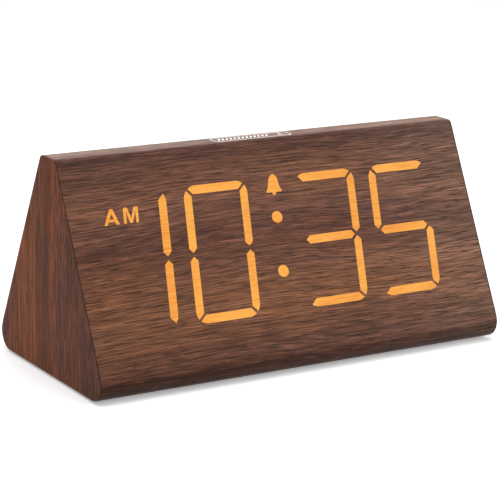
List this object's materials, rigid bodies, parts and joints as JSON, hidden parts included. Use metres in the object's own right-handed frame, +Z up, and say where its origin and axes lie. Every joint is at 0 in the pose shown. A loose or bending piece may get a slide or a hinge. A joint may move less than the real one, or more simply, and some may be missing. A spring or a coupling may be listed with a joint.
{
  "type": "digital alarm clock",
  "caption": "Mains digital alarm clock: folded walnut-film case, amber segment display that shines through the film, touch ridge on top, rear control panel with backup battery compartment.",
  "frame": {"origin": "centre of the footprint, on the surface that the clock stands on", "axes": "+X along the case towards the minutes, the display faces -Y, +Z up"},
  "size_m": [0.2, 0.095, 0.0943],
  "materials": {
    "fibreboard": "raw pressed fibre",
    "walnut_film": "satin printed film",
    "rubber": "matte",
    "white_plastic": "matte",
    "lit_window": "lit diffuser",
    "circuit_board": "satin",
    "steel": "bright plated",
    "cable": "satin",
    "copper": "bright foil",
    "black_plastic": "fine moulded",
    "grey_plastic": "satin moulded",
    "cell_jacket": "gloss"
  },
  "bodies": {
    "case": {"front_board": "fibreboard", "rear_board": "fibreboard", "ridge_board": "fibreboard", "base_board": "fibreboard", "left_end_board": "fibreboard", "right_end_board": "fibreboard", "walnut_wrap": "walnut_film", "left_end_veneer": "walnut_film", "right_end_veneer": "walnut_film", "foot_front_left": "rubber", "foot_front_right": "rubber", "foot_rear_left": "rubber", "foot_rear_right": "rubber", "display_reflector": "white_plastic", "hour_tens_window": "lit_window", "hour_ones_window": "lit_window", "colon_window": "lit_window", "minute_tens_window": "lit_window", "minute_ones_window": "lit_window", "display_board": "circuit_board", "control_board": "circuit_board", "display_screw_1": "steel", "display_screw_2": "steel", "display_screw_3": "steel", "display_screw_4": "steel", "panel_screw_1": "steel", "panel_screw_2": "steel", "panel_screw_3": "steel", "panel_screw_4": "steel", "board_screw_1": "steel", "board_screw_2": "steel", "usb_socket": "steel", "bridge_contact": "steel", "positive_contact": "steel", "negative_contact": "steel", "upper_spring": "steel", "lower_spring": "steel", "ribbon_cable": "cable", "touch_lead": "cable", "speaker_lead": "cable", "battery_lead": "cable", "touch_pad": "copper", "rear_panel": "black_plastic", "battery_tray": "black_plastic", "dimmer_pot": "black_plastic", "dc_inlet": "black_plastic", "speaker": "black_plastic", "upper_cell": "cell_jacket", "lower_cell": "cell_jacket"},
    "time_key": {"time_button": "grey_plastic", "time_plunger": "black_plastic"},
    "alarm_key": {"alarm_button": "grey_plastic", "alarm_plunger": "black_plastic"},
    "minus_key": {"minus_button": "grey_plastic", "minus_plunger": "black_plastic"},
    "plus_key": {"plus_button": "grey_plastic", "plus_plunger": "black_plastic"},
    "alarm_slider": {"alarm_switch_knob": "grey_plastic"},
    "dimmer": {"dimmer_wheel": "grey_plastic"},
    "door": {"battery_door": "black_plastic"}
  },
  "joints": [
    {"name": "time_press", "type": "slide", "parent": "case", "child": "time_key", "axis": [0, -0.8986, -0.4387], "range_m": [0, 0.0006], "stiffness_N_per_m": 2500},
    {"name": "alarm_press", "type": "slide", "parent": "case", "child": "alarm_key", "axis": [0, -0.8986, -0.4387], "range_m": [0, 0.0006], "stiffness_N_per_m": 2500},
    {"name": "minus_press", "type": "slide", "parent": "case", "child": "minus_key", "axis": [0, -0.8986, -0.4387], "range_m": [0, 0.0006], "stiffness_N_per_m": 2500},
    {"name": "plus_press", "type": "slide", "parent": "case", "child": "plus_key", "axis": [0, -0.8986, -0.4387], "range_m": [0, 0.0006], "stiffness_N_per_m": 2500},
    {"name": "alarm_switch_slide", "type": "slide", "parent": "case", "child": "alarm_slider", "axis": [-1, 0, 0], "range_m": [0, 0.003]},
    {"name": "dimmer_turn", "type": "hinge", "parent": "case", "child": "dimmer", "pos_m": [-0.02845, 0.01677, 0.06187], "axis": [0, -0.4387, 0.8986], "range_deg": [0, 250]},
    {"name": "battery_door_hinge", "type": "hinge", "parent": "case", "child": "door", "pos_m": [0.03505, 0.03387, 0.03505], "axis": [-1, 0, 0], "range_deg": [0, 90]}
  ]
}
